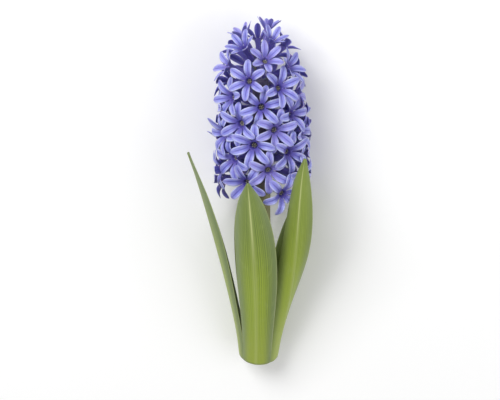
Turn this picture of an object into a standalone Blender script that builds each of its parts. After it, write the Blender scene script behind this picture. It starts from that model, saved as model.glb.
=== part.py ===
"""A picked hyacinth flower, lying on a flat surface as it would on a table.

+Y runs from the cut end to the tip of the flower head, +Z is up, and Z = 0 is the surface.
The stem is one piece. Each leaf is one piece, and so is each floret: its six lobes are grown
together into one tube on one stalk. The florets stand on the stem in a golden-angle spiral,
and every lobe takes the first bend, out of a list, that clears its neighbours, the leaves and
the stem, so the crowded lobes lie over and under each other without touching.
"""

import math
import random
from collections import namedtuple

import bmesh
import bpy
from mathutils import Matrix, Vector
from mathutils.bvhtree import BVHTree

MM = 0.001

# The stem, measured along Y from its cut end.
STEM_LENGTH = 204 * MM
FOOT_RADIUS = 6.6 * MM
NECK_RADIUS = 4.8 * MM
STEM_TIP_RADIUS = 1.8 * MM
NECK_AT = 104 * MM
STEM_STATIONS = 22
STEM_BEVEL_RESOLUTION = 4
FOOT_HEIGHT = 10.3 * MM
HEAD_HEIGHT = 31.2 * MM
BOW_END = 122 * MM
SIDE_BOW = 2.5 * MM

# The florets.
FLORET_COUNT = 50
FIRST_FLORET_AT = 123 * MM
LAST_FLORET_AT = 203 * MM
CROWDING = 0.94  # under 1, the florets stand closer together towards the tip
GOLDEN_ANGLE = math.radians(137.508)
FIRST_AZIMUTH = math.radians(62)
SEATING_GAP = 0.32 * MM
REACH = 21.0 * MM
REACH_SPREAD = 0.06
REACH_LOSS = 0.30  # share of its reach that the topmost floret lacks
SIZE_LOSS = 0.30  # share of its size that the topmost floret lacks
RISE = (-9, 19, 62)  # degrees at the bottom, gained evenly up the head, gained at its top
OPENING = (128, -26, -58)  # the same for how far the lobes fold back
RISE_SPREAD = 3
OPENING_SPREAD = 10
STALK_RADIUS = 1.05 * MM
STALK_LENGTH = 6.0 * MM
BELLY_AT = 10.0 * MM
BELLY_RADIUS = 2.7 * MM
RIM_RADIUS = 3.1 * MM
RIM_WALL = 0.45 * MM
THROAT_DEPTH = 6.0 * MM
MOUTH_LENGTH = 3.2 * MM
MOUTH_RADIUS = 4.6 * MM

# A floret's six lobes.
LOBES = 6
LOBE_LENGTH = 12.6 * MM
LOBE_WIDTH = 5.4 * MM
LOBE_THICKNESS = 1.0 * MM
FLARE_AT_RIM = math.radians(34)
LOBE_STATIONS = ((0.42, 1.0, 1.0), (0.78, 0.78, 0.85), (1.0, 0.0, 0.0))  # length, width, thickness
LINE_STEPS = 50
OPENING_EASE = 0.8
CLOSING_PACE = 3
LOBE_ROOM = 0.95  # share of its sixth of the circle that a lobe may fill
GUARD = 0.19 * MM
SEED = 11

# The bends that a lobe may take, and what each departure from the natural one counts.
ROLLS = [math.radians(angle) for angle in (0, 15, 30, 45)]
TIP_CHANGES = [math.radians(angle) for angle in range(-96, 97, 12)]
LEAST_TIP_ANGLE = math.radians(-4)
MOST_TIP_ANGLE = math.radians(165)
SWINGS = [math.radians(angle) for angle in (0, -9, 9, -18, 18)]
SHRINKS = (1.0, 0.93, 0.86, 0.78, 0.7, 0.62, 0.54, 0.46)
CHANGE_WORTH = math.radians(26)
SWING_WORTH = math.radians(12)
SHRINK_WORTH = 0.14
LIFT_WORTH = 1.2 * MM

# The leaves. Their azimuths and twists are in degrees.
LEAF_STATIONS = 12
LEAF_ACROSS = 6
WIDEST_AT = 0.56
LEAF_TIP_WIDTH = 2 * MM
TIP_ROUNDNESS = (2.3, 0.75)
TWIST_PACE = 1.3
OPENED_AT = 0.4  # share of the length where the clasping foot has opened to the blade

Leaf = namedtuple(
    "Leaf",
    "name length foot_azimuth tip_azimuth foot_radius spread spread_power "
    "foot_width width thickness twist roundness",
)
LEAVES = (
    Leaf(
        "leaf_front", length=131 * MM, foot_azimuth=98, tip_azimuth=103, foot_radius=12.0 * MM,
        spread=29 * MM, spread_power=1.35, foot_width=17 * MM, width=29 * MM, thickness=2.2 * MM,
        twist=0, roundness=19 * MM,
    ),
    Leaf(
        "leaf_right", length=144 * MM, foot_azimuth=19, tip_azimuth=52, foot_radius=12.0 * MM,
        spread=30 * MM, spread_power=1.3, foot_width=15 * MM, width=19 * MM, thickness=2.0 * MM,
        twist=-62, roundness=15 * MM,
    ),
    Leaf(
        "leaf_left", length=144 * MM, foot_azimuth=179, tip_azimuth=169, foot_radius=12.0 * MM,
        spread=35 * MM, spread_power=1.3, foot_width=16 * MM, width=22 * MM, thickness=2.0 * MM,
        twist=0, roundness=17 * MM,
    ),
    Leaf(
        "leaf_under_right", length=112 * MM, foot_azimuth=331, tip_azimuth=323, foot_radius=9.0 * MM,
        spread=28 * MM, spread_power=1.5, foot_width=13 * MM, width=25 * MM, thickness=2.0 * MM,
        twist=0, roundness=20 * MM,
    ),
    Leaf(
        "leaf_under_left", length=103 * MM, foot_azimuth=246, tip_azimuth=250, foot_radius=9.0 * MM,
        spread=28 * MM, spread_power=1.4, foot_width=13 * MM, width=24 * MM, thickness=2.0 * MM,
        twist=0, roundness=20 * MM,
    ),
)

# Colours, as linear red, green and blue.
PETAL_COLOUR = (0.165, 0.135, 0.56)
LEAF_COLOUR = (0.14, 0.24, 0.045)
STEM_COLOUR = (0.26, 0.36, 0.08)


def mix(a, b, share):
    return a + (b - a) * share


def eased(share):
    """0 to 1 with a soft start and end."""
    share = max(0.0, min(1.0, share))
    return share * share * (3 - 2 * share)


def clear_scene():
    for obj in list(bpy.data.objects):
        bpy.data.objects.remove(obj)


def material(name, colour, roughness):
    made = bpy.data.materials.new(name)
    made.use_nodes = True
    shader = made.node_tree.nodes["Principled BSDF"]
    shader.inputs["Base Color"].default_value = (*colour, 1)
    shader.inputs["Roughness"].default_value = roughness
    shader.inputs["Metallic"].default_value = 0
    return made


def object_of(name, data, finish):
    made = bpy.data.objects.new(name, data)
    bpy.context.scene.collection.objects.link(made)
    data.materials.append(finish)
    return made


# The stem's line. Everything else is placed from it.


def axis_point(at):
    """The middle of the stem, or of its line carried on past the tip."""
    low = max(0.0, 1 - at / BOW_END)
    height = HEAD_HEIGHT - (HEAD_HEIGHT - FOOT_HEIGHT) * low**2
    return Vector((SIDE_BOW * math.sin(math.pi * at / STEM_LENGTH), at, height))


def axis_frame(at):
    """Point, direction towards the tip, sideways and upwards."""
    step = 0.5 * MM
    along = (axis_point(at + step) - axis_point(at - step)).normalized()
    up = (Vector((0, 0, 1)) - along * along.z).normalized()
    return axis_point(at), along, along.cross(up), up


def radial(at, azimuth):
    """The direction out of the stem at an azimuth: 0 is to the right, a quarter turn is up."""
    _, _, side, up = axis_frame(at)
    return side * math.cos(azimuth) + up * math.sin(azimuth)


def stem_radius(at):
    if at < NECK_AT:
        return mix(FOOT_RADIUS, NECK_RADIUS, at / NECK_AT)
    return mix(NECK_RADIUS, STEM_TIP_RADIUS, ((at - NECK_AT) / (STEM_LENGTH - NECK_AT)) ** 1.5)


def make_stem(finish):
    curve = bpy.data.curves.new("flower_stem", "CURVE")
    curve.dimensions = "3D"
    curve.bevel_depth = 1.0
    curve.bevel_resolution = STEM_BEVEL_RESOLUTION
    curve.use_fill_caps = True
    spline = curve.splines.new("POLY")
    spline.points.add(STEM_STATIONS - 1)
    for index, point in enumerate(spline.points):
        at = STEM_LENGTH * index / (STEM_STATIONS - 1)
        point.co = (*axis_point(at), 1)
        point.radius = stem_radius(at)
    return object_of("flower_stem", curve, finish)


# Leaves.


def leaf_width(leaf, share):
    """From the clasping foot to the widest place, then round to the hooded tip."""
    if share < WIDEST_AT:
        return mix(leaf.foot_width, leaf.width, eased(share / WIDEST_AT))
    fall = (share - WIDEST_AT) / (1 - WIDEST_AT)
    along, across = TIP_ROUNDNESS
    return max(LEAF_TIP_WIDTH, leaf.width * (1 - fall**along) ** across)


def leaf_spine(leaf, share):
    at = leaf.length * share
    azimuth = math.radians(mix(leaf.foot_azimuth, leaf.tip_azimuth, eased(share)))
    away = leaf.foot_radius + leaf.spread * share**leaf.spread_power
    return axis_point(at) + radial(at, azimuth) * away, radial(at, azimuth)


def leaf_rows(leaf):
    """The leaf's middle surface: one row of points across it at each station."""
    rows = []
    for station in range(LEAF_STATIONS):
        share = station / (LEAF_STATIONS - 1)
        middle, out = leaf_spine(leaf, share)
        ahead, behind = min(1.0, share + 0.01), max(0.0, share - 0.01)
        along = (leaf_spine(leaf, ahead)[0] - leaf_spine(leaf, behind)[0]).normalized()
        out = (out - along * out.dot(along)).normalized()
        out.rotate(Matrix.Rotation(math.radians(leaf.twist) * eased(share * TWIST_PACE), 3, along))
        across = along.cross(out)
        width = leaf_width(leaf, share)
        bend = mix(leaf.foot_radius, leaf.roundness, eased(share / OPENED_AT))
        row = []
        for step in range(LEAF_ACROSS + 1):
            angle = (step / LEAF_ACROSS - 0.5) * width / bend
            row.append(middle + across * bend * math.sin(angle) - out * bend * (1 - math.cos(angle)))
        rows.append(row)
    return rows


def leaf_thickness(leaf, share, step):
    """Thick along the middle of the foot, thin at the margins and the tip."""
    margin = abs(2 * step / LEAF_ACROSS - 1)
    return leaf.thickness * mix(1.0, 0.6, share) * mix(1.0, 0.5, margin**2)


def make_leaf(leaf, finish):
    rows = leaf_rows(leaf)
    shape = bmesh.new()
    group = shape.verts.layers.deform.new()
    grid = []
    for station, row in enumerate(rows):
        verts = []
        for step, point in enumerate(row):
            thickness = leaf_thickness(leaf, station / (LEAF_STATIONS - 1), step)
            # A leaf that would dip under the surface lies flat on it.
            point.z = max(point.z, thickness / 2)
            vert = shape.verts.new(point)
            vert[group][0] = thickness / leaf.thickness
            verts.append(vert)
        grid.append(verts)
    for lower, upper in zip(grid, grid[1:]):
        for step in range(LEAF_ACROSS):
            shape.faces.new((lower[step], lower[step + 1], upper[step + 1], upper[step]))
    mesh = bpy.data.meshes.new(leaf.name)
    shape.to_mesh(mesh)
    shape.free()
    made = object_of(leaf.name, mesh, finish)
    made.vertex_groups.new(name="thickness")
    solid = made.modifiers.new("thickness", "SOLIDIFY")
    solid.thickness = leaf.thickness
    solid.offset = 0
    solid.vertex_group = "thickness"
    mesh.shade_smooth()
    return made


# Florets.

Floret = namedtuple("Floret", "name base turn size reach opening")
Bend = namedtuple("Bend", "tip_angle swing shrink")


def up_the_head(share, values, spread, chance):
    """An angle that changes evenly up the head and then fast near its top."""
    bottom, evenly, late = values
    angle = bottom + evenly * share + late * share**5
    return math.radians(angle + chance.uniform(-spread, spread))


def floret_places(chance):
    """Each floret's seat on the stem, its direction, its size and how far its lobes fold back."""
    places = []
    for index in range(FLORET_COUNT):
        share = index / (FLORET_COUNT - 1)
        at = mix(FIRST_FLORET_AT, LAST_FLORET_AT, share**CROWDING)
        azimuth = FIRST_AZIMUTH + index * GOLDEN_ANGLE
        rise = up_the_head(share, RISE, RISE_SPREAD, chance)
        size = 1 - SIZE_LOSS * share**4
        point, along, _, _ = axis_frame(at)
        out = radial(at, azimuth)
        direction = (out * math.cos(rise) + along * math.sin(rise)).normalized()
        seat = stem_radius(at) + SEATING_GAP + STALK_RADIUS * abs(math.sin(rise))
        first_lobe = (along - direction * along.dot(direction)).normalized()
        turn = Matrix((first_lobe, direction.cross(first_lobe), direction)).transposed()
        reach = REACH * (1 - REACH_LOSS * share**3) * chance.uniform(1 - REACH_SPREAD, 1 + REACH_SPREAD)
        opening = up_the_head(share, OPENING, OPENING_SPREAD, chance)
        name = f"floret_{index + 1:02d}"
        places.append(Floret(name, point + out * seat, turn, size, reach, opening))
    return places


def lobe_line(floret, bend):
    """Distance out from the floret's axis, distance along it and angle from it, at each station."""
    length = LOBE_LENGTH * floret.size * bend.shrink
    out, ahead, line = RIM_RADIUS * floret.size, floret.reach, []
    stations = [round(share * LINE_STEPS) for share, _, _ in LOBE_STATIONS]
    for step in range(LINE_STEPS):
        share = (step + 0.5) / LINE_STEPS
        turned = share**OPENING_EASE if bend.tip_angle > FLARE_AT_RIM else min(1.0, CLOSING_PACE * share)
        angle = mix(FLARE_AT_RIM, bend.tip_angle, turned)
        out += math.sin(angle) * length / LINE_STEPS
        ahead += math.cos(angle) * length / LINE_STEPS
        if step + 1 in stations:
            line.append((out, ahead, angle))
    return line


def rim_points(floret, roll, lobe, extra=0.0):
    """The left, inner, right and outer points where a lobe leaves the tube, in the floret's axes."""
    turn = roll + lobe * math.tau / LOBES
    half = math.pi / LOBES
    radius = RIM_RADIUS * floret.size
    inner = radius - RIM_WALL - extra
    outer = radius + RIM_WALL + extra
    return [
        Vector((radius * math.cos(turn - half), radius * math.sin(turn - half), floret.reach)),
        Vector((inner * math.cos(turn), inner * math.sin(turn), floret.reach)),
        Vector((radius * math.cos(turn + half), radius * math.sin(turn + half), floret.reach)),
        Vector((outer * math.cos(turn), outer * math.sin(turn), floret.reach)),
    ]


def lobe_rings(floret, roll, lobe, bend, guard=0.0):
    """A lobe's rings of four points, then its tip, in the row's axes. Also how far the surface lifts it."""
    rings, lift = [], 0.0
    stations = zip(lobe_line(floret, bend), LOBE_STATIONS)
    for (out, ahead, angle), (share, width_share, thickness_share) in stations:
        turn = roll + lobe * math.tau / LOBES + bend.swing * share
        radial_way = Vector((math.cos(turn), math.sin(turn), 0))
        across = Vector((-math.sin(turn), math.cos(turn), 0))
        middle = radial_way * out + Vector((0, 0, ahead))
        face = -radial_way * math.cos(angle) + Vector((0, 0, math.sin(angle)))
        room = 2 * LOBE_ROOM * out * math.tan(math.pi / LOBES)
        half_width = min(LOBE_WIDTH * floret.size * width_share, room) / 2 + guard
        half_thick = LOBE_THICKNESS * thickness_share / 2 + guard
        if share == 1.0:
            forward = radial_way * math.sin(angle) + Vector((0, 0, math.cos(angle)))
            ring = [middle + forward * guard]
        else:
            ring = [
                middle - across * half_width,
                middle + face * half_thick,
                middle + across * half_width,
                middle - face * half_thick,
            ]
        ring = [floret.base + floret.turn @ point for point in ring]
        sunk = max(0.0, -min(point.z for point in ring))
        if sunk > 0:
            ring = [point + Vector((0, 0, sunk)) for point in ring]
            lift = max(lift, sunk)
        rings.append(ring)
    return rings, lift


def tree_of(rings):
    """A search tree of a closed shape made of rings of equal size, the last of which may be one point."""
    points, faces = [], []
    for ring in rings:
        points.extend(ring)
    count = len(rings[0])
    faces.append(list(range(count)))
    for index in range(len(rings) - 1):
        low = index * count
        for corner in range(count):
            follower = (corner + 1) % count
            if len(rings[index + 1]) == 1:
                faces.append([low + corner, low + follower, low + count])
            else:
                high = low + count
                faces.append([low + corner, low + follower, high + follower, high + corner])
    if len(rings[-1]) > 1:
        faces.append(list(range(len(points) - count, len(points))))
    return BVHTree.FromPolygons(points, faces)


Shape = namedtuple("Shape", "middle radius whole blade")


def shape_of(points, whole, blade=None):
    """A search tree with a ball around it, which makes the first test quick."""
    middle = sum(points, Vector()) / len(points)
    return Shape(middle, max((point - middle).length for point in points), whole, blade)


def tube_rings(floret, guard=0.0):
    """The stalk, the tube and the room that the lobes need to leave it, as rings of twelve points."""
    rings = []
    for ahead, radius in (
        (guard, STALK_RADIUS),
        (STALK_LENGTH, STALK_RADIUS),
        (BELLY_AT, BELLY_RADIUS * floret.size),
        (floret.reach, RIM_RADIUS * floret.size + RIM_WALL),
        (floret.reach + MOUTH_LENGTH * floret.size, MOUTH_RADIUS * floret.size),
    ):
        ring = []
        for corner in range(2 * LOBES):
            turn = corner * math.pi / LOBES
            point = Vector((math.cos(turn), math.sin(turn), 0)) * (radius + guard)
            ring.append(floret.base + floret.turn @ (point + Vector((0, 0, ahead))))
        rings.append(ring)
    return rings


def bends_for(floret):
    """Every bend that a lobe may take with its cost, the most natural first."""
    found = []
    for change in TIP_CHANGES:
        tip_angle = floret.opening + change
        if not LEAST_TIP_ANGLE < tip_angle < MOST_TIP_ANGLE:
            continue
        for swing in SWINGS:
            for shrink in SHRINKS:
                cost = abs(change) / CHANGE_WORTH + abs(swing) / SWING_WORTH + (1 - shrink) / SHRINK_WORTH
                found.append((cost, Bend(tip_angle, swing, shrink)))
    return sorted(found, key=lambda item: item[0])


def best_bend(space, floret, roll, lobe, bends):
    """The most natural bend that is clear of everything, as its cost, itself and its shape, or None."""
    root = floret.base + floret.turn @ Vector((0, 0, floret.reach))
    span = (LOBE_LENGTH + RIM_RADIUS) * floret.size
    near = [
        shape.whole
        for (owner, _), shape in space.items()
        if owner != floret.name and (shape.middle - root).length < shape.radius + span
    ]
    siblings = [
        shape.blade
        for (owner, part), shape in space.items()
        if owner == floret.name and part not in ("tube", lobe)
    ]
    rim = [floret.base + floret.turn @ point for point in rim_points(floret, roll, lobe, GUARD)]
    best = None
    for cost, bend in bends:
        if best and cost >= best[0]:
            break
        rings, lift = lobe_rings(floret, roll, lobe, bend, GUARD)
        cost += lift / LIFT_WORTH
        if best and cost >= best[0]:
            continue
        whole = tree_of([rim, *rings])
        if any(whole.overlap(tree) for tree in near):
            continue
        blade = tree_of(rings)
        if any(blade.overlap(tree) for tree in siblings):
            continue
        points = rim + [point for ring in rings for point in ring]
        best = (cost, bend, shape_of(points, whole, blade))
    return best


def open_floret(space, floret, roll, bends):
    """Opens the six lobes one after another at this roll. Returns the cost and the lobes' bends."""
    for lobe in range(LOBES):
        space.pop((floret.name, lobe), None)
    total, chosen = 0.0, []
    for lobe in range(LOBES):
        best = best_bend(space, floret, roll, lobe, bends)
        if best is None:
            return math.inf, chosen
        cost, bend, space[floret.name, lobe] = best
        chosen.append(bend)
        total += cost
    return total, chosen


def settle_lobes(florets, space):
    """Chooses each floret's roll and its lobes' bends, so that nothing touches."""
    rolls, lobe_bends = {}, {}
    for floret in florets:
        rings = tube_rings(floret, GUARD)
        space[floret.name, "tube"] = shape_of([p for ring in rings for p in ring], tree_of(rings))
    for floret in reversed(florets):
        bends = bends_for(floret)
        trials = [(open_floret(space, floret, roll, bends)[0], roll) for roll in ROLLS]
        rolls[floret.name] = min(trials)[1]
        cost, lobe_bends[floret.name] = open_floret(space, floret, rolls[floret.name], bends)
        if math.isinf(cost):
            raise ValueError(f"{floret.name} has no room for its lobes")
    # Each lobe looks once more, now that the ones placed after it have settled.
    for floret in florets:
        bends = bends_for(floret)
        for lobe in range(LOBES):
            _, bend, space[floret.name, lobe] = best_bend(space, floret, rolls[floret.name], lobe, bends)
            lobe_bends[floret.name][lobe] = bend
    return rolls, lobe_bends


def make_floret(floret, roll, bends, finish):
    """One closed body: stalk, tube, throat and six lobes, in the floret's own axes."""
    shape = bmesh.new()

    def ring_of(points):
        return [shape.verts.new(point) for point in points]

    def wall(lower, upper):
        count = len(lower)
        for corner in range(count):
            follower = (corner + 1) % count
            shape.faces.new((lower[corner], lower[follower], upper[follower], upper[corner]))

    def circle(radius, ahead):
        turns = [roll + corner * math.tau / LOBES for corner in range(LOBES)]
        return ring_of([Vector((radius * math.cos(t), radius * math.sin(t), ahead)) for t in turns])

    foot = circle(STALK_RADIUS, 0)
    stalk = circle(STALK_RADIUS, STALK_LENGTH)
    belly = circle(BELLY_RADIUS * floret.size, BELLY_AT)
    shape.faces.new(list(reversed(foot)))
    wall(foot, stalk)
    wall(stalk, belly)
    rims = [rim_points(floret, roll, lobe) for lobe in range(LOBES)]
    notches = ring_of([rim[0] for rim in rims])
    inners = ring_of([rim[1] for rim in rims])
    outers = ring_of([rim[3] for rim in rims])
    throat = shape.verts.new((0, 0, floret.reach - THROAT_DEPTH))
    to_local = floret.turn.transposed()
    for lobe in range(LOBES):
        follower = (lobe + 1) % LOBES
        shape.faces.new((belly[lobe], notches[follower], outers[lobe]))
        shape.faces.new((belly[lobe], belly[follower], notches[follower]))
        shape.faces.new((belly[lobe], outers[lobe], notches[lobe]))
        shape.faces.new((throat, inners[lobe], notches[follower]))
        shape.faces.new((throat, notches[lobe], inners[lobe]))
        rings, _ = lobe_rings(floret, roll, lobe, bends[lobe])
        lower = [notches[lobe], inners[lobe], notches[follower], outers[lobe]]
        for ring in rings[:-1]:
            upper = ring_of([to_local @ (point - floret.base) for point in ring])
            wall(lower, upper)
            lower = upper
        tip = shape.verts.new(to_local @ (rings[-1][0] - floret.base))
        for corner in range(len(lower)):
            shape.faces.new((lower[corner], lower[(corner + 1) % len(lower)], tip))
    bmesh.ops.recalc_face_normals(shape, faces=shape.faces)
    mesh = bpy.data.meshes.new(floret.name)
    shape.to_mesh(mesh)
    shape.free()
    made = object_of(floret.name, mesh, finish)
    made.matrix_world = Matrix.LocRotScale(floret.base, floret.turn, None)
    mesh.shade_smooth()
    return made


def world_tree(obj):
    """A search tree of an object as its modifiers leave it, with its points in the row's axes."""
    graph = bpy.context.evaluated_depsgraph_get()
    evaluated = obj.evaluated_get(graph)
    mesh = evaluated.to_mesh()
    points = [evaluated.matrix_world @ vert.co for vert in mesh.vertices]
    faces = [list(face.vertices) for face in mesh.polygons]
    evaluated.to_mesh_clear()
    return shape_of(points, BVHTree.FromPolygons(points, faces))


def stand_on_origin(made):
    """Moves every object alike, so that the origin is under the middle of the whole and Z = 0 is its foot."""
    bpy.context.view_layer.update()
    graph = bpy.context.evaluated_depsgraph_get()
    corners = []
    for obj in made:
        mesh = obj.evaluated_get(graph).to_mesh()
        corners.extend(obj.matrix_world @ vert.co for vert in mesh.vertices)
        obj.evaluated_get(graph).to_mesh_clear()
    low = Vector(min(corner[axis] for corner in corners) for axis in range(3))
    high = Vector(max(corner[axis] for corner in corners) for axis in range(3))
    middle = (low + high) / 2
    for obj in made:
        obj.location -= Vector((middle.x, middle.y, low.z))


def main():
    clear_scene()
    petal = material("petal", PETAL_COLOUR, 0.42)
    leaf_green = material("leaf", LEAF_COLOUR, 0.45)
    stem_green = material("stem", STEM_COLOUR, 0.45)
    made = [make_stem(stem_green)]
    made += [make_leaf(leaf, leaf_green) for leaf in LEAVES]
    bpy.context.view_layer.update()
    space = {(obj.name, "whole"): world_tree(obj) for obj in made}
    florets = floret_places(random.Random(SEED))
    rolls, lobe_bends = settle_lobes(florets, space)
    for floret in florets:
        made.append(make_floret(floret, rolls[floret.name], lobe_bends[floret.name], petal))
    stand_on_origin(made)


main()
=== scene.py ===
# %% [markdown]
# # A picked hyacinth
#
# The flower lies on a pale table: a fleshy stem, five strap leaves that clasp its foot, and fifty
# small six-lobed florets in a dense spike. The packed model gives every piece's place and size.
# This script reads those places back and builds the finished, curved and coloured pieces there.

# %% Load the packed model
import math
import random

import bpy
import numpy as np
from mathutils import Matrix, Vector


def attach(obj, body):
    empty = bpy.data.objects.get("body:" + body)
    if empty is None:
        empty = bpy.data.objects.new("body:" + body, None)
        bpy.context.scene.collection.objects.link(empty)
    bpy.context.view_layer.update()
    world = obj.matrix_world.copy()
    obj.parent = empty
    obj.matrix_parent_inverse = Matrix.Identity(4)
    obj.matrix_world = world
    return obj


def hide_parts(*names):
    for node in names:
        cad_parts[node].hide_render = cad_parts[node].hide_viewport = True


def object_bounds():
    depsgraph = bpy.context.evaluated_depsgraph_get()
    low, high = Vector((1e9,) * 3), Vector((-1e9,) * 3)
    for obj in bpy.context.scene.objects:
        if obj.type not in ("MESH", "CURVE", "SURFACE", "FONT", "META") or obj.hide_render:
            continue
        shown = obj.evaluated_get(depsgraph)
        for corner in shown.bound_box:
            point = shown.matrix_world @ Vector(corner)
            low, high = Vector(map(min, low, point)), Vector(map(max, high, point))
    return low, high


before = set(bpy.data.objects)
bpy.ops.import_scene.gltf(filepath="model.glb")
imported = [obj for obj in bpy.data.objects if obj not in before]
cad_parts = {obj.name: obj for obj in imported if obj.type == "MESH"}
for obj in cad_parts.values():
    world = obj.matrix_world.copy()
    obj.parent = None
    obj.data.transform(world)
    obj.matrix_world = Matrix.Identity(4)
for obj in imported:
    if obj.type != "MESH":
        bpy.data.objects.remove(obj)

MM = 0.001
cad_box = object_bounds()
scene = bpy.context.scene
print("nodes", len(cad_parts), "box", [round(v, 4) for corner in cad_box for v in corner])

# %% [markdown]
# ## Camera, table and light
#
# The flower was seen standing, from a little above. Lying down, the same view is from overhead,
# leaning fifteen degrees towards the tip. A long lens keeps the perspective calm. The camera is
# turned about X only, so its picture's upward edge is the flower's own direction, +Y.

# %% Camera
LEAN = math.radians(15)
DISTANCE = 1.05
SPARE = 1.13  # the picture's height as a multiple of the flower's
PICTURE_SHAPE = 500 / 400  # its width as a multiple of its height
SENSOR_WIDTH = 36

low, high = cad_box
middle = (low + high) / 2
camera_data = bpy.data.cameras.new("camera")
camera = bpy.data.objects.new("camera", camera_data)
scene.collection.objects.link(camera)
camera.location = middle + DISTANCE * Vector((0, math.sin(LEAN), math.cos(LEAN)))
camera.rotation_euler = (-LEAN, 0, 0)
camera_data.sensor_width = SENSOR_WIDTH
picture_height = (high.y - low.y) * math.cos(LEAN) * SPARE
camera_data.lens = SENSOR_WIDTH * DISTANCE / (picture_height * PICTURE_SHAPE)
scene.camera = camera
print("lens", round(camera_data.lens, 1), "mm")

# %% [markdown]
# The table is one wide plane. Its near-white colour gives the background, and it keeps the
# flower's soft shadow. Every mesh in this lesson comes from lists of points and faces, so one
# helper makes them all.

# %% Table
HALF_TABLE = 3.0
TABLE_WHITE = (0.93, 0.93, 0.93, 1)
TABLE_ROUGHNESS = 0.9


def mesh_object(name, points, faces, smooth=True):
    mesh = bpy.data.meshes.new(name)
    mesh.from_pydata([tuple(point) for point in points], [], [tuple(face) for face in faces])
    if smooth:
        mesh.shade_smooth()
    made = bpy.data.objects.new(name, mesh)
    scene.collection.objects.link(made)
    return made


corners = [(x, y, 0) for x, y in ((-1, -1), (1, -1), (1, 1), (-1, 1))]
table = mesh_object("table", np.array(corners) * HALF_TABLE, [(0, 1, 2, 3)], smooth=False)
table_top = bpy.data.materials.new("table")
table_top.use_nodes = True
table_shader = table_top.node_tree.nodes["Principled BSDF"]
table_shader.inputs["Base Color"].default_value = TABLE_WHITE
table_shader.inputs["Roughness"].default_value = TABLE_ROUGHNESS
table.data.materials.append(table_top)
print("table", 2 * HALF_TABLE, "m wide")

# %% [markdown]
# A big square lamp to the upper left stands for a window, and a weaker one fills the right
# side. The world adds an even light, so that no shadow turns black.

# %% Lamps
ROOM_LIGHT = 0.52


def area_lamp(name, place, size, power):
    data = bpy.data.lights.new(name, "AREA")
    data.shape, data.size, data.energy = "SQUARE", size, power
    lamp = bpy.data.objects.new(name, data)
    lamp.location = place
    lamp.rotation_euler = (middle - Vector(place)).to_track_quat("-Z", "Y").to_euler()
    scene.collection.objects.link(lamp)


area_lamp("window", place=(-0.55, 0.75, 0.95), size=0.7, power=12.5)
area_lamp("fill", place=(0.9, -0.1, 0.8), size=0.9, power=4.0)
world = bpy.data.worlds.new("room")
world.use_nodes = True
room = world.node_tree.nodes["Background"]
room.inputs["Color"].default_value = (1, 1, 1, 1)
room.inputs["Strength"].default_value = ROOM_LIGHT
scene.world = world
scene.view_settings.view_transform = "Standard"
print("lamps", [lamp.name for lamp in bpy.data.lights])

# %% [markdown]
# ## Writing materials as sums
#
# A finish is easier to read as a formula than as a web of nodes. `Sock` wraps the output of a
# node, so that `1 - mask * 0.5` adds the Math nodes itself.

# %% A socket that can be calculated with


class Sock:
    def __init__(self, finish, socket):
        self.finish, self.socket = finish, socket

    def math(self, operation, *values):
        return self.finish.node("ShaderNodeMath", {"operation": operation}, dict(enumerate(values)))

    def __add__(self, other):
        return self.math("ADD", self, other)

    def __sub__(self, other):
        return self.math("SUBTRACT", self, other)

    def __rsub__(self, other):
        return self.math("SUBTRACT", other, self)

    def __mul__(self, other):
        return self.math("MULTIPLY", self, other)

    __radd__ = __add__
    __rmul__ = __mul__

    def abs(self):
        return self.math("ABSOLUTE", self)

    def sin(self):
        return self.math("SINE", self)

    def step(self, low_edge, high_edge):
        """0 below the low edge, 1 above the high edge, and a soft slope between them."""
        settings = {"interpolation_type": "SMOOTHSTEP"}
        return self.finish.node("ShaderNodeMapRange", settings, {0: self, 1: low_edge, 2: high_edge})


print("a socket can", [name for name in vars(Sock) if not name.startswith("_")])

# %% [markdown]
# `Finish` is one material. Constant values are set on its sockets when it is made, and `use`
# links what changes over the surface. Colours go through Mix nodes, and any other node is made
# by `node`, from its type, its settings and its inputs.

# %% A material with its helpers
MIX_FIRST, MIX_SECOND, MIX_RESULT = 6, 7, 2  # a Mix node's colour sockets
OBJECT_PLACE = 3  # Texture Coordinate's Object output


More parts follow.
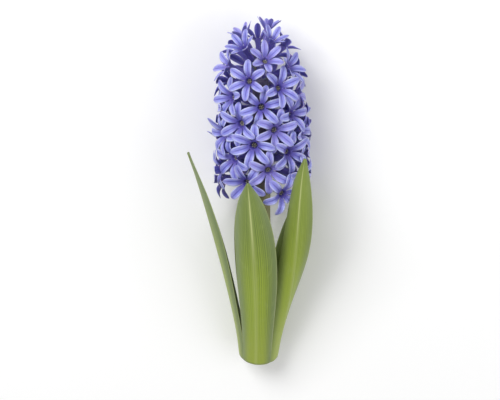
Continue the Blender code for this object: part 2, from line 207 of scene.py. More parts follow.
class Finish:
    def __init__(self, name, **constants):
        self.material = bpy.data.materials.new(name)
        self.material.use_nodes = True
        self.tree = self.material.node_tree
        self.shader = self.tree.nodes["Principled BSDF"]
        for socket, value in constants.items():
            self.shader.inputs[socket.replace("_", " ")].default_value = value

    def node(self, kind, settings=None, inputs=None, output=0):
        made = self.tree.nodes.new(kind)
        for key, value in (settings or {}).items():
            setattr(made, key, value)
        for key, value in (inputs or {}).items():
            if isinstance(value, Sock):
                self.tree.links.new(value.socket, made.inputs[key])
            else:
                made.inputs[key].default_value = value
        return Sock(self, made.outputs[output])

    def mix(self, first, second, share):
        """From one colour to another. Both may be plain red, green and blue."""
        first, second = (c if isinstance(c, Sock) else (*c, 1) for c in (first, second))
        inputs = {0: share, MIX_FIRST: first, MIX_SECOND: second}
        return self.node("ShaderNodeMix", {"data_type": "RGBA"}, inputs, output=MIX_RESULT)

    def marks(self):
        """The four numbers that the mesh carries at each point."""
        painted = self.node("ShaderNodeAttribute", {"attribute_name": "marks"})
        parts = self.tree.nodes.new("ShaderNodeSeparateColor")
        self.tree.links.new(painted.socket, parts.inputs[0])
        fourth = painted.socket.node.outputs["Alpha"]
        return [Sock(self, part) for part in (*parts.outputs, fourth)]

    def noise(self, scale, detail=2.0, stretch=(1, 1, 1)):
        """Soft random variation, fixed to the piece. Scale is in cycles per metre."""
        place = self.node("ShaderNodeTexCoord", output=OBJECT_PLACE)
        multiply = {"operation": "MULTIPLY"}
        stretched = self.node("ShaderNodeVectorMath", multiply, {0: place, 1: stretch})
        inputs = {"Vector": stretched, "Scale": scale, "Detail": detail}
        return self.node("ShaderNodeTexNoise", inputs=inputs)

    def bump(self, height, depth):
        return self.node("ShaderNodeBump", inputs={"Height": height, "Distance": depth})

    def use(self, **links):
        for socket, value in links.items():
            self.tree.links.new(value.socket, self.shader.inputs[socket.replace("_", " ")])
        return self.material


print("a finish can", [name for name in vars(Finish) if not name.startswith("_")])

# %% [markdown]
# ## Petal finish
#
# A hyacinth's lobes are blue-violet, and violet-blue on the tube. A lavender painted highlight
# lies along their rims, and painted shade darkens the fold down their middle, their inner part
# by the throat and their backs. Each mesh point carries four marks: how far across the lobe it
# lies, how far out from the stalk, whether it is on the back, and a tone of its own floret. The
# colour is a sum of those, with fine streaks.

# %% Petal finish
# The face's rim colour is a painted highlight, and its fold colour is painted shade in the crease down the
# middle.
FACE_BLUE, FACE_RIM_HIGHLIGHT, FACE_FOLD_SHADE = (0.245, 0.250, 0.725), (0.610, 0.640, 0.975), (0.085, 0.075, 0.430)
# The back colours are darker copies of the face colours: painted shade on the lobes' backs, with a lighter
# painted highlight at their rims.
BACK_SHADE_BLUE, BACK_SHADE_RIM_HIGHLIGHT, BACK_FOLD_SHADE = (0.105, 0.095, 0.470), (0.260, 0.255, 0.740), (0.048, 0.044, 0.300)
TUBE_DARK, TUBE_PALE, STALK_GREEN = (0.080, 0.062, 0.370), (0.150, 0.120, 0.500), (0.150, 0.170, 0.150)
# The throat colour is painted shade on the lobes' inner part, by the throat.
THROAT_SHADE_BLUE, LILAC, PATCH_BLUE = (0.090, 0.070, 0.420), (0.380, 0.330, 0.760), (0.110, 0.105, 0.480)
PETAL_RIBS, PETAL_RELIEF = 21.0, 0.14 * MM


def petal_finish():
    finish = Finish(
        "petal", Coat_Weight=0.10, Coat_Roughness=0.3, Subsurface_Weight=0.1, Subsurface_Scale=0.001
    )
    across, out, back, tone = finish.marks()
    streaks, patches = finish.noise(900, 3.0), finish.noise(160)
    # The rim mask lays the painted highlight along the lobes' rims, and fine streaks add more of it. The
    # fold mask lays painted shade in the crease down their middle.
    rim, fold = across.step(0.45, 1.0), 1 - across.step(0.0, 0.30)
    face = finish.mix(FACE_BLUE, FACE_RIM_HIGHLIGHT, rim * 0.84 + streaks * 0.32 - 0.05)
    # Painted shade in the fold, fading out towards the lobe's tip.
    face = finish.mix(face, FACE_FOLD_SHADE, fold * 0.85 * (1 - out.step(0.82, 1.0)))
    # Painted shade darkens the face towards the throat.
    face = finish.mix(THROAT_SHADE_BLUE, face, out.step(0.50, 0.72) * 0.75 + 0.25)
    # The backs use the same masks with the darker colours of painted shade.
    shaded_back = finish.mix(BACK_SHADE_BLUE, BACK_SHADE_RIM_HIGHLIGHT, rim * 0.75 + streaks * 0.3)
    shaded_back = finish.mix(shaded_back, BACK_FOLD_SHADE, fold * 0.65)
    tube = finish.mix(TUBE_DARK, TUBE_PALE, streaks)
    tube = finish.mix(STALK_GREEN, tube, out.step(0.02, 0.20))
    colour = finish.mix(tube, finish.mix(face, shaded_back, back), out.step(0.46, 0.66))
    colour = finish.mix(colour, LILAC, tone.step(0.55, 1.0) * 0.28)
    colour = finish.mix(colour, PATCH_BLUE, patches.step(0.45, 0.75) * 0.34)
    ribs = (across * PETAL_RIBS).sin() * 0.5 + streaks
    return finish.use(
        Base_Color=colour,
        Roughness=0.30 + patches * 0.16,
        Normal=finish.bump(ribs, PETAL_RELIEF),
    )


petal = petal_finish()
print("petal", len(petal.node_tree.nodes), "nodes")

# %% [markdown]
# ## Leaf finish
#
# The leaves are thick and waxy. They are yellow-green where they wrapped the bulb, bright along
# the middle of the blade and darker and greyer towards the margins and the tip, with broad soft
# bands, fine parallel veins, a pale midrib and a pale line along each margin. Sideways runs from
# 0 at one margin to 1 at the other, and across from 0 at the midrib to 1 at either margin.

# %% Leaf finish
BAND_DARK, BAND_PALE, BLADE_BRIGHT = (0.115, 0.175, 0.018), (0.240, 0.315, 0.034), (0.330, 0.430, 0.030)
FOOT_GREEN, YOUNG_GREEN, WAX_GREY = (0.330, 0.400, 0.046), (0.400, 0.500, 0.050), (0.180, 0.235, 0.105)
MARGIN_SHADE, VEIN_DARK, GRAIN_PALE = (0.070, 0.120, 0.018), (0.060, 0.105, 0.010), (0.290, 0.360, 0.100)
MIDRIB_PALE, MARGIN_PALE = (0.520, 0.570, 0.230), (0.400, 0.460, 0.180)
VEINS, BANDS, LEAF_RELIEF = 150.0, 9.0, 0.10 * MM


def leaf_finish():
    finish = Finish("leaf", Coat_Weight=0.12, Coat_Roughness=0.35)
    sideways, out, _, tone = finish.marks()
    across = (sideways * 2 - 1).abs()
    wander = finish.noise(28, stretch=(1, 0.35, 1))
    grain = finish.noise(420, 3.0, stretch=(1, 0.08, 1))
    veins = (sideways * VEINS + wander * 3.0).sin() * 0.5 + 0.5
    one_way = {"noise_dimensions": "1D"}
    bands = finish.node("ShaderNodeTexNoise", one_way, {"W": sideways * BANDS, "Detail": 3.0})
    colour = finish.mix(BAND_DARK, BAND_PALE, bands.step(0.36, 0.66))
    bright = (1 - across.step(0.30, 0.75)) * (1 - out.step(0.35, 0.80))
    colour = finish.mix(colour, BLADE_BRIGHT, bright * (0.35 + bands * 0.6))
    colour = finish.mix(FOOT_GREEN, colour, out.step(0.02, 0.38) * 0.75 + 0.25)
    colour = finish.mix(colour, MARGIN_SHADE, across.step(0.50, 0.92) * (0.25 + bands * 0.55))
    wax = (across.step(0.35, 0.95) * 0.72 + out.step(0.50, 1.0) * 0.6) * (0.45 + wander * 0.6)
    colour = finish.mix(colour, WAX_GREY, wax)
    colour = finish.mix(colour, YOUNG_GREEN, tone * 0.45)
    colour = finish.mix(colour, VEIN_DARK, veins * 0.26 * (1 - tone * 0.5))
    midrib = (1 - across.step(0.0, 0.06)) * out.step(0.55, 0.85) * 0.75
    midrib = midrib + (1 - across.step(0.02, 0.16)) * 0.22
    colour = finish.mix(colour, MIDRIB_PALE, midrib)
    colour = finish.mix(colour, MARGIN_PALE, across.step(0.92, 0.99) * 0.55)
    colour = finish.mix(colour, GRAIN_PALE, grain.step(0.5, 0.8) * 0.25)
    return finish.use(
        Base_Color=colour,
        Roughness=0.34 + grain * 0.18,
        Normal=finish.bump(veins * 0.6 + grain * 0.5, LEAF_RELIEF),
    )


leaf_green = leaf_finish()
print("leaf", len(leaf_green.node_tree.nodes), "nodes")

# %% [markdown]
# ## Stem and anther finishes
#
# The stem is smooth and green, flushed with purple higher up, and in deep shade inside the head.
# Its cut end shows pale flesh with darker fibres. The stamens are blue threads that carry pale
# yellow anthers, grainy with pollen.

# %% Stem finish
STEM_DARK, STEM_PALE, STEM_FOOT = (0.250, 0.345, 0.075), (0.400, 0.470, 0.130), (0.480, 0.500, 0.230)
STEM_FLUSH, STEM_SHADE = (0.170, 0.085, 0.090), (0.050, 0.036, 0.120)
CUT_FLESH, CUT_FIBRE = (0.560, 0.600, 0.330), (0.370, 0.440, 0.180)
STEM_RELIEF = 0.12 * MM


def stem_finish():
    finish = Finish("stem", Coat_Weight=0.10, Coat_Roughness=0.4)
    _, out, cut, _ = finish.marks()
    streaks = finish.noise(300, 3.0, stretch=(1, 0.06, 1))
    pores = finish.noise(1300)
    colour = finish.mix(STEM_DARK, STEM_PALE, streaks)
    colour = finish.mix(STEM_FOOT, colour, out.step(0.0, 0.22))
    colour = finish.mix(colour, STEM_FLUSH, out.step(0.30, 0.62) * (0.35 + streaks * 0.5))
    colour = finish.mix(colour, STEM_SHADE, out.step(0.58, 0.72) * 0.85)
    colour = finish.mix(colour, finish.mix(CUT_FLESH, CUT_FIBRE, pores.step(0.52, 0.66)), cut)
    return finish.use(
        Base_Color=colour,
        Roughness=0.36 + streaks * 0.18,
        Normal=finish.bump(streaks * 0.5 + pores * 0.4, STEM_RELIEF),
    )


stem_green = stem_finish()
print("stem", len(stem_green.node_tree.nodes), "nodes")

# %% Anther finish
POLLEN_DARK, POLLEN_PALE = (0.330, 0.300, 0.200), (0.720, 0.700, 0.500)
THREAD_BLUE, THREAD_PALE = (0.190, 0.150, 0.520), (0.480, 0.470, 0.700)
POLLEN_RELIEF = 0.10 * MM


def anther_finish():
    finish = Finish("anther")
    _, out, _, tone = finish.marks()
    pollen = finish.noise(2600, 3.0)
    heads = finish.mix(POLLEN_DARK, POLLEN_PALE, pollen.step(0.4, 0.6))
    threads = finish.mix(THREAD_BLUE, THREAD_PALE, out)
    return finish.use(
        Base_Color=finish.mix(threads, heads, out.step(0.62, 0.70)),
        Roughness=0.5 + tone * 0.2,
        Normal=finish.bump(pollen, POLLEN_RELIEF),
    )


anther = anther_finish()
print("anther", len(anther.node_tree.nodes), "nodes")

# %% [markdown]
# ## Reading the packed pieces back
#
# A packed piece is a triangle mesh whose corners are doubled. Merging equal corners gives back
# its real points and shows which of them are neighbours. Every finished piece is finer than its
# packed one, so smooth curves are run through the points that were found.

# %% Points and curves
MERGE = 0.002 * MM  # corners on the same step of this size are one point


def points_of(node):
    """The node's merged points, their triangles and each point's neighbours."""
    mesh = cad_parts[node].data
    raw = np.array([vert.co for vert in mesh.vertices])
    steps = np.round(raw / MERGE)
    _, first, index = np.unique(steps, axis=0, return_index=True, return_inverse=True)
    points, index = raw[first], index.reshape(-1)
    mesh.calc_loop_triangles()
    triangles = [tuple(index[list(tri.vertices)]) for tri in mesh.loop_triangles]
    triangles = [tri for tri in triangles if len(set(tri)) == 3]
    near = [set() for _ in points]
    for tri in triangles:
        for corner in tri:
            near[corner].update(set(tri) - {corner})
    return points, triangles, near


def curve_at(stations, where):
    """A Catmull-Rom curve through stations numbered 0, 1, 2 and so on, at any places on it."""
    stations = np.asarray(stations, float)
    before, after = 2 * stations[0] - stations[1], 2 * stations[-1] - stations[-2]
    padded = np.concatenate([[before], stations, [after]])
    base = np.minimum(where.astype(int), len(stations) - 2)
    t = (where - base).reshape(-1, *[1] * (stations.ndim - 1))
    a, b, c, d = (padded[base + offset] for offset in range(4))
    return 0.5 * (2 * b + (c - a) * t + (2 * a - 5 * b + 4 * c - d) * t**2 + (3 * b - a - 3 * c + d) * t**3)


def through(stations, count):
    """The same curve at evenly spaced places."""
    return curve_at(stations, np.linspace(0, len(stations) - 1, count))


def unit(vector):
    return vector / max(np.linalg.norm(vector), 1e-12)


print("leaf_front has", len(points_of("leaf_front")[0]), "packed points")

# %% [markdown]
# A surface is a grid of points, joined by quads. A thin piece has two grids, its face and its
# back, and a strip of quads along their border closes the gap between them.

# %% Faces, marks and placing


def grid_faces(rows, columns, start=0, closed=False, flip=False):
    """Quads between rows of points. A closed grid joins its last column to its first."""
    faces = []
    for row in range(rows - 1):
        for column in range(columns if closed else columns - 1):
            after = (column + 1) % columns
            a, b = start + row * columns, start + (row + 1) * columns
            face = (a + column, a + after, b + after, b + column)
            faces.append(face[::-1] if flip else face)
    return faces


def grid_border(rows, columns):
    """The points round a grid: its first row, its last column, then back the other way."""
    first_row = list(range(columns))
    last_column = [row * columns + columns - 1 for row in range(1, rows)]
    last_row = [(rows - 1) * columns + column for column in reversed(range(columns - 1))]
    first_column = [row * columns for row in reversed(range(1, rows - 1))]
    return first_row + last_column + last_row + first_column


def two_sided(rows, columns, border):
    """The faces of a face grid, of the back grid that follows it, and of the strip between."""
    count = rows * columns
    faces = grid_faces(rows, columns) + grid_faces(rows, columns, start=count, flip=True)
    for here, after in zip(border, border[1:]):
        faces.append((after, here, here + count, after + count))
    return faces


def set_marks(piece, marks):
    layer = piece.data.attributes.new("marks", "FLOAT_COLOR", "POINT")
    layer.data.foreach_set("color", np.asarray(marks, np.float32).ravel())


def placed(piece, finish, slot, *nodes):
    """Gives a finished piece its material and its body, and hides the packed nodes that it stands for."""
    piece.data.materials.append(finish)
    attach(piece, "root")
    if nodes:
        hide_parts(*nodes)
    return piece


print("a grid of 3 by 3 has", len(grid_faces(3, 3)), "faces and a border of", len(grid_border(3, 3)))

# %% [markdown]
# ## The stem
#
# The packed stem is a bowed tube with few sides. Its rings are found again by sorting the
# points along Y, and a finer round tube is run through them. A real stem is faintly ribbed,
# so the radius swells and dips a little around it. The cut end is slightly hollowed.

# %% Stem
STEM_RINGS, STEM_ROWS, STEM_SIDES = 22, 150, 36
STEM_RIBS, RIB_DEPTH, RIB_TWIST = 6, 0.012, 0.05
CUT_HOLLOW = ((0.9, 0.0), (0.5, 0.5 * MM), (0.15, 0.7 * MM))  # share of the radius, depth


def stem_rings():
    """The centre and radius of each ring of the packed stem, from its foot to its tip."""
    points = points_of("flower_stem")[0]
    sides = len(points) // STEM_RINGS
    order = np.argsort(points[:, 1])
    groups = points[order[: sides * STEM_RINGS]].reshape(STEM_RINGS, sides, 3)
    centres = groups.mean(axis=1)
    radii = np.linalg.norm(groups - centres[:, None], axis=2).mean(axis=1)
    return centres, radii


def make_stem(ring_centres, ring_radii):
    centres, radii = through(ring_centres, STEM_ROWS), through(ring_radii, STEM_ROWS)
    along = np.gradient(centres, axis=0)
    points, marks = [], []
    for row, (centre, radius) in enumerate(zip(centres, radii)):
        side = unit(np.cross(along[row], (0, 0, 1)))
        up = unit(np.cross(side, along[row]))
        for turn in np.linspace(0, math.tau, STEM_SIDES, endpoint=False):
            rib = math.sin(STEM_RIBS * turn + row * RIB_TWIST) - 1
            way = side * math.cos(turn) + up * math.sin(turn)
            points.append(centre + radius * (1 + RIB_DEPTH * rib) * way)
            marks.append((turn / math.tau, row / (STEM_ROWS - 1), 0, 0))
    faces = grid_faces(STEM_ROWS, STEM_SIDES, closed=True)
    starts = [0]
    for share, depth in CUT_HOLLOW:
        starts.append(len(points))
        for spoke in points[:STEM_SIDES]:
            points.append(centres[0] + (spoke - centres[0]) * share + unit(along[0]) * depth)
            marks.append((0, 0, 1, 0))
    ring = range(STEM_SIDES)
    for outer, inner in zip(starts, starts[1:]):
        for column in ring:
            after = (column + 1) % STEM_SIDES
            faces.append((outer + after, outer + column, inner + column, inner + after))
    faces.append([starts[-1] + column for column in reversed(ring)])
    faces.append([(STEM_ROWS - 1) * STEM_SIDES + column for column in ring])
    piece = mesh_object("stem", points, faces)
    set_marks(piece, marks)
    return placed(piece, stem_green, "stem", "flower_stem")


stem_centres, stem_radii = stem_rings()
stem = make_stem(stem_centres, stem_radii)
print("stem", len(stem.data.vertices), "points")

# %% [markdown]
# ## The leaves
#
# Each packed leaf is a coarse solid strap: twelve rows of seven pairs of points, one above and
# one below its middle surface. Sorting along Y and then across gives the rows back, and a fine
# middle surface is run through them.

# %% Leaf rows
LEAF_ROWS, LEAF_PAIRS = 12, 7
FINE_ROWS, FINE_COLUMNS = 90, 41
LEAF_ALONG = np.linspace(0, 1, FINE_ROWS)[:, None]
LEAF_ACROSS = np.linspace(-1, 1, FINE_COLUMNS)[None, :]


def leaf_rows(node):
    """The middle surface of a packed leaf and its thickness."""
    points = points_of(node)[0]
    groups = points[np.argsort(points[:, 1])].reshape(LEAF_ROWS, 2 * LEAF_PAIRS, 3)
    rows, thicknesses, last = [], [], np.array((1.0, 0.0, 0.0))
    for group in groups:
        centre = group.mean(axis=0)
        way = np.linalg.svd(group - centre)[2][0]
        way = way if way @ last >= 0 else -way
        last = way
        pairs = group[np.argsort((group - centre) @ way)].reshape(LEAF_PAIRS, 2, 3)
        rows.append(pairs.mean(axis=1))
        thicknesses.append(np.linalg.norm(pairs[:, 0] - pairs[:, 1], axis=1))
    return np.array(rows), np.array(thicknesses)


def fine_grid(values):
    """The same values on the fine rows and columns."""
    along = through(values, FINE_ROWS)
    return np.swapaxes(through(np.swapaxes(along, 0, 1), FINE_COLUMNS), 0, 1)


def facing_stem(grid):
    """The surface's normals, all on the side that looks at the stem."""
    normals = np.cross(np.gradient(grid, axis=1), np.gradient(grid, axis=0))
    normals /= np.linalg.norm(normals, axis=2, keepdims=True)
    row, column = FINE_ROWS // 3, FINE_COLUMNS // 2
    stem_line = through(stem_centres, 400)
    nearest = stem_line[np.argmin(np.abs(stem_line[:, 1] - grid[row, column, 1]))]
    inward = normals[row, column] @ (nearest - grid[row, column])
    return -normals if inward < 0 else normals


print("leaf_front's rows", leaf_rows("leaf_front")[0].shape)

# %% [markdown]
# The middle surface gets what a real leaf has: a foot wide enough to overlap the next one, a
# fold along its middle, a fleshy thickness that thins to the margins, a raised keel on its back,
# and a shallow channel and fine ripples on its face. A leaf that is pressed to the table stays
# above it.

# %% Leaves
FOOT_OVERLAP, FOOT_REACH = 0.20, 0.22  # how much wider the foot is, and how far up that fades
FOLD_DEPTH, FOLD_WIDTH = 0.9 * MM, 0.30
KEEL_HEIGHT, KEEL_WIDTH = 0.225 * MM, 0.07
CHANNEL_DEPTH, CHANNEL_WIDTH = 0.22 * MM, 0.16
RIPPLE_DEPTH, RIPPLES = 0.035 * MM, 62
MARGIN_THICKNESS = 0.02 * MM
LEAF_TONES = {
    "leaf_front": 0.15,
    "leaf_right": 0.55,
    "leaf_left": 0.0,
    "leaf_under_right": 0.35,
    "leaf_under_left": 0.2,
}


def hump(width):
    """1 on the midrib, falling away to both sides."""
    return np.exp(-(LEAF_ACROSS / width) ** 2)


def leaf_surfaces(node):
    """The fine face and back of a leaf."""
    u, v = LEAF_ACROSS, LEAF_ALONG
    rows, thicknesses = leaf_rows(node)
    grid, thick = fine_grid(rows), fine_grid(thicknesses)
    midline = grid[:, FINE_COLUMNS // 2][:, None]
    wider = 1 + FOOT_OVERLAP * np.exp(-(v / FOOT_REACH) ** 2)
    grid = midline + (grid - midline) * wider[..., None]
    normals = facing_stem(grid)
    half = 0.5 * thick * np.sqrt(np.clip(1 - np.abs(u) ** 6, 0, 1)) + MARGIN_THICKNESS
    fold = FOLD_DEPTH * np.exp(-np.abs(u) / FOLD_WIDTH) * np.sin(math.pi * np.minimum(v * 1.1, 1.0))
    ripple = RIPPLE_DEPTH * np.sin(u * RIPPLES) * (1 - np.abs(u) ** 4)
    grid = grid - normals * fold[..., None]
    face = grid + normals * (half - CHANNEL_DEPTH * hump(CHANNEL_WIDTH) + ripple)[..., None]
    back = grid - normals * (half + KEEL_HEIGHT * hump(KEEL_WIDTH) * (0.3 + v))[..., None]
    return face, back


def make_leaf(node, tone):
    points = np.concatenate([surface.reshape(-1, 3) for surface in leaf_surfaces(node)])
    points[:, 2] = np.maximum(points[:, 2], 0.0)
    sideways, out = np.meshgrid((LEAF_ACROSS[0] + 1) / 2, LEAF_ALONG[:, 0])
    marks = [
        np.stack([sideways, out, np.full_like(out, back), np.full_like(out, tone)], axis=2).reshape(-1, 4)
        for back in (0.0, 1.0)
    ]
    border = grid_border(FINE_ROWS, FINE_COLUMNS)
    faces = two_sided(FINE_ROWS, FINE_COLUMNS, border + border[:1])
    piece = mesh_object(node + "_blade", points, faces)
    set_marks(piece, np.concatenate(marks))
    return placed(piece, leaf_green, "leaf", node)


leaves = [make_leaf(node, tone) for node, tone in LEAF_TONES.items()]
print("leaves", [leaf.name for leaf in leaves])

# %% [markdown]
# ## The florets
#
# A floret is six lobes grown together into a tube on a short stalk. The packed floret says
# where each lobe goes. A lobe's tip is a sharp point with four neighbours. Those four are one
# ring across the lobe, theirs are the next, and theirs are the lobe's root on the tube's rim.

# %% Find the lobes of a packed floret
LOBES, LOBE_RINGS, RING_POINTS = 6, 3, 4


def sharpness(points, triangles, corner):
    """The sum of the angles that the triangles make at a point: small at a sharp one."""
    total = 0.0
    for tri in triangles:
        if corner in tri:
            one, two = (points[other] - points[corner] for other in tri if other != corner)
            total += math.acos(max(-1.0, min(1.0, unit(one) @ unit(two))))
    return total


def ring_shape(points, near, ring):
    """A ring's middle, the vector to one side of it and the vector through its thickness."""
    ring = list(ring)
    first = ring[0]
    gaps = {other: np.linalg.norm(points[other] - points[first]) for other in ring[1:]}
    opposite = max(gaps, key=lambda other: (other not in near[first], gaps[other]))
    rest = [corner for corner in ring if corner not in (first, opposite)]
    spans = [points[b] - points[a] for a, b in ((first, opposite), rest)]
    wide = int(np.linalg.norm(spans[1]) > np.linalg.norm(spans[0]))
    return points[ring].mean(axis=0), spans[wide] / 2, spans[1 - wide] / 2


def lobes_of(node):
    """The floret's points, and each lobe's tip with its rings from root to tip."""
    points, triangles, near = points_of(node)
    four = [corner for corner, others in enumerate(near) if len(others) == RING_POINTS]
    tips = sorted(four, key=lambda corner: sharpness(points, triangles, corner))[:LOBES]
    lobes = []
    for tip in tips:
        seen, ring, rings = {tip}, {tip}, []
        for _ in range(LOBE_RINGS):
            ring = set().union(*(near[corner] for corner in ring)) - seen
            seen |= ring
            if len(ring) != RING_POINTS:
                raise ValueError(f"{node}: a lobe's rings were not found")
            rings.append(ring_shape(points, near, ring))
        lobes.append((points[tip], rings[::-1]))
    return points, lobes


found = {node: lobes_of(node) for node in sorted(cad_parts) if node.startswith("floret_")}
print("florets", len(found), "lobes", sum(len(lobes) for _, lobes in found.values()))

# %% [markdown]
# A lobe is a curved strap through its rings. Its outline is a smooth curve: narrow at the root,
# widest at its middle and round at the tip. Across it, the rims rise towards the face and the
# middle sinks to a fold. Both sides of the strap are made, a little apart, and closed along the
# edge. Small random differences in the cupping and the tilt keep the lobes from looking stamped.

# %% One lobe
LOBE_ROWS, LOBE_COLUMNS = 17, 9
LOBE_THICKNESS, LEAST_HALF = 0.42 * MM, 0.05 * MM
WIDEST_AT, TIP_SQUARENESS, TIP_ROUNDNESS = 0.5, 2.6, 0.62
CUP_DEPTH, CUP_LEVEL, CUP_CURVE = 0.42, 0.35, 1.6
LEAST_CURL, MOST_CURL, MOST_SKEW = 0.7, 1.3, 0.12


def lobe_half(share, root, wide):
    """Half the lobe's width at a share of its length."""
    if share < WIDEST_AT:
        return root + (wide - root) * math.sin(share / WIDEST_AT * math.pi / 2)
    beyond = (share - WIDEST_AT) / (1 - WIDEST_AT)
    return wide * max(0.0, 1 - beyond**TIP_SQUARENESS) ** TIP_ROUNDNESS


def lobe_lines(tip, rings, centre, axis):
    """The lobe's middle line and the direction to one side of it, at evenly spaced rows."""
    middles = [shape[0] for shape in rings] + [tip]
    sides = [unit(rings[0][1])]
    for shape in rings[1:]:
        side = unit(shape[1])
        sides.append(side if side @ sides[-1] > 0 else -side)
    outward = unit(middles[0] - centre - axis * ((middles[0] - centre) @ axis))
    if np.cross(sides[0], outward) @ axis > 0:
        sides = [-side for side in sides]
    lengths = np.cumsum([0] + [np.linalg.norm(b - a) for a, b in zip(middles, middles[1:])])
    rows = np.linspace(0, lengths[-1], LOBE_ROWS)
    where = np.interp(rows, lengths, np.arange(len(middles)))
    return curve_at(middles, where), curve_at([*sides, sides[-1]], where)


def make_lobe(tip, rings, centre, axis, chance):
    """Points, faces and marks of one lobe, from the tube's rim to its tip."""
    line, sides = lobe_lines(tip, rings, centre, axis)
    ahead = np.gradient(line, axis=0)
    wide = max(np.linalg.norm(rings[1][1]), 0.95 * np.linalg.norm(rings[2][1]))
    root = np.linalg.norm(rings[0][1]) * 0.98
    curl, skew = chance.uniform(LEAST_CURL, MOST_CURL), chance.uniform(-MOST_SKEW, MOST_SKEW)
    face_points, back_points, face_marks, back_marks = [], [], [], []
    for row, share in enumerate(np.linspace(0, 1, LOBE_ROWS)):
        side = unit(sides[row])
        normal = unit(np.cross(unit(ahead[row]), side))
        half = max(lobe_half(share, root, wide), LEAST_HALF)
        depth = CUP_DEPTH * half * curl * math.sin(math.pi * min(1.0, share * 1.10 + 0.08))
        for place in np.linspace(-1, 1, LOBE_COLUMNS):
            rise = depth * (abs(place) ** CUP_CURVE - CUP_LEVEL) + skew * half * place * share
            point = line[row] + side * half * place + normal * rise
            thick = LOBE_THICKNESS * (1 - 0.75 * abs(place) ** 3) * (1 - 0.5 * share**3)
            face_points.append(point + normal * thick / 2)
            back_points.append(point - normal * thick / 2)
            face_marks.append((abs(place), 0.5 + 0.5 * share, 0.0))
            back_marks.append((abs(place), 0.5 + 0.5 * share, 1.0))
    border = grid_border(LOBE_ROWS, LOBE_COLUMNS)[LOBE_COLUMNS - 1 :] + [0]
    faces = two_sided(LOBE_ROWS, LOBE_COLUMNS, border)
    return face_points + back_points, faces, face_marks + back_marks


print("lobe of", 2 * LOBE_ROWS * LOBE_COLUMNS, "points")

# %% [markdown]
# The tube swells from a thin stalk, narrows at its waist and opens to the rim where the lobes
# begin. It has an inner wall too, so that a look down the throat meets a real hollow.

# %% Tube
TUBE_SIDES = 18
TUBE_PROFILE = (  # share of the reach, radius as a share of the rim's
    (0.00, 0.34), (0.10, 0.31), (0.27, 0.34), (0.34, 0.62), (0.44, 0.86),
    (0.56, 0.84), (0.70, 0.74), (0.84, 0.80), (0.94, 0.95), (1.00, 1.06),
)
THROAT_PROFILE = ((1.00, 0.98), (0.95, 0.84), (0.86, 0.66), (0.76, 0.58), (0.66, 0.46), (0.62, 0.10))


def ring_ways(axis, side, count, first=0.0):
    """Directions round an axis, evenly spaced from the side on."""
    other = np.cross(axis, side)
    turns = [(number + first) * math.tau / count for number in range(count)]
    return [(turn, side * math.cos(turn) + other * math.sin(turn)) for turn in turns]


def make_tube(base, axis, side, reach, rim):
    """The outer wall from the stalk to the rim, then the inner wall back down the throat."""
    points, marks = [], []
    for profile, outside in ((TUBE_PROFILE, 1.0), (THROAT_PROFILE, 0.0)):
        for share, radius in profile:
            for turn, way in ring_ways(axis, side, TUBE_SIDES):
                points.append(base + axis * reach * share + way * rim * radius)
                marks.append((0.5 + 0.5 * math.cos(LOBES * turn), 0.5 * share, outside))
    rows = len(TUBE_PROFILE) + len(THROAT_PROFILE)
    faces = grid_faces(rows, TUBE_SIDES, closed=True)
    faces.append(list(reversed(range(TUBE_SIDES))))
    faces.append([(rows - 1) * TUBE_SIDES + corner for corner in range(TUBE_SIDES)])
    return points, faces, marks


print("tube of", (len(TUBE_PROFILE) + len(THROAT_PROFILE)) * TUBE_SIDES, "points")

# %% [markdown]
# Six short stamens stand round a thicker pistil inside the throat. Each is a small turned rod
# that is thin along its thread and swells to the anther.

# %% Stamens
STAMEN_SIDES = 6
STAMEN_PROFILE = ((0.0, 0.35), (0.5, 0.40), (0.60, 0.45), (0.68, 1.0), (0.84, 1.15), (0.96, 0.8), (1.0, 0.2))
THREAD_FOOT, THREAD_HEAD = (0.68, 0.40), (0.92, 0.42)  # share of the reach, and of the rim's radius
PISTIL_FOOT, PISTIL_HEAD = 0.60, 0.88
ANTHER_RADIUS, PISTIL_RADIUS = 0.30 * MM, 0.42 * MM


def make_stamens(base, axis, side, reach, rim):
    """Points, faces and marks of the six stamens and the pistil."""
    rods = []
    for _, way in ring_ways(axis, side, LOBES, first=0.5):
        foot, head = (base + axis * reach * up + way * rim * off for up, off in (THREAD_FOOT, THREAD_HEAD))
        rods.append((foot, head, ANTHER_RADIUS))
    rods.append((base + axis * reach * PISTIL_FOOT, base + axis * reach * PISTIL_HEAD, PISTIL_RADIUS))
    points, faces, marks = [], [], []
    for foot, head, radius in rods:
        start, along = len(points), unit(head - foot)
        across = unit(np.cross(along, side))
        for share, swell in STAMEN_PROFILE:
            for _, way in ring_ways(along, across, STAMEN_SIDES):
                points.append(foot + (head - foot) * share + way * radius * swell)
                marks.append((0, share, 0))
        last = start + (len(STAMEN_PROFILE) - 1) * STAMEN_SIDES
        faces += grid_faces(len(STAMEN_PROFILE), STAMEN_SIDES, start=start, closed=True)
        faces.append([start + corner for corner in reversed(range(STAMEN_SIDES))])
        faces.append([last + corner for corner in range(STAMEN_SIDES)])
    return points, faces, marks


print("stamens of", (LOBES + 1) * len(STAMEN_PROFILE) * STAMEN_SIDES, "points")

# %% [markdown]
# The roots of the six lobes give the rim's middle and the way that the floret faces, and the
# packed points farthest behind it give the foot of its stalk. The finished stalk reaches a
# little past that, into the stem. The petals, tube and stalk are one piece that replaces the
# packed floret, and the stamens are a second one.

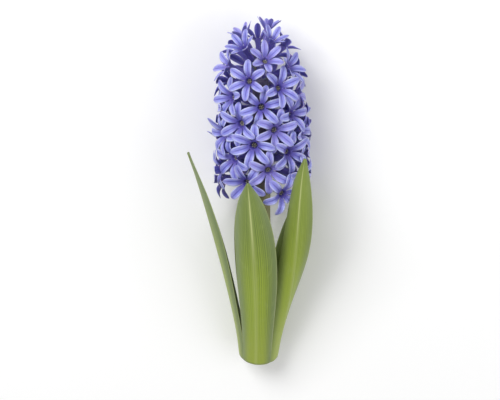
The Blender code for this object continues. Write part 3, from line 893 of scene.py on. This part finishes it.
# %% Florets
FOOT_POINTS = 6
STALK_SINK = 0.6 * MM


def floret_axis(points, centre, roots):
    """The foot of the stalk, and the direction and the distance from there to the rim's middle."""
    outer = np.linalg.svd(roots - centre)[2][2]
    stem_near = stem_centres[np.argmin(np.linalg.norm(stem_centres - centre, axis=1))]
    facing = outer if outer @ (centre - stem_near) > 0 else -outer
    behind = points[np.argsort((points - centre) @ facing)[:FOOT_POINTS]].mean(axis=0)
    foot = points[np.argsort(np.linalg.norm(points - behind, axis=1))[:FOOT_POINTS]].mean(axis=0)
    reach = np.linalg.norm(centre - foot)
    return foot, (centre - foot) / reach, reach


def make_floret(node, chance):
    points, lobes = found[node]
    roots = np.array([rings[0][0] for _, rings in lobes])
    centre = roots.mean(axis=0)
    foot, axis, reach = floret_axis(points, centre, roots)
    rim = np.linalg.norm(roots - centre, axis=1).mean()
    side = unit(roots[0] - centre - axis * ((roots[0] - centre) @ axis))
    whole = (foot - axis * STALK_SINK, axis, side, reach + STALK_SINK, rim)
    all_points, all_faces, all_marks = make_tube(*whole)
    for tip, rings in lobes:
        lobe_points, lobe_faces, lobe_marks = make_lobe(tip, rings, centre, axis, chance)
        start = len(all_points)
        all_faces += [[start + corner for corner in face] for face in lobe_faces]
        all_points += lobe_points
        all_marks += lobe_marks
    tone = chance.random()
    above_table = [(x, y, max(z, 0.0)) for x, y, z in all_points]
    petals = mesh_object(node + "_petals", above_table, all_faces)
    set_marks(petals, [(*mark, tone) for mark in all_marks])
    placed(petals, petal, "petal", node)
    rod_points, rod_faces, rod_marks = make_stamens(*whole)
    stamens = mesh_object(node + "_stamens", rod_points, rod_faces)
    set_marks(stamens, [(*mark, tone) for mark in rod_marks])
    placed(stamens, anther, "petal")
    return petals


chance = random.Random(7)
florets = [make_floret(node, chance) for node in found]
print("florets", len(florets), "of", len(florets[0].data.vertices), "points")

# %% [markdown]
# The visual model has to stay inside the packed model's box.
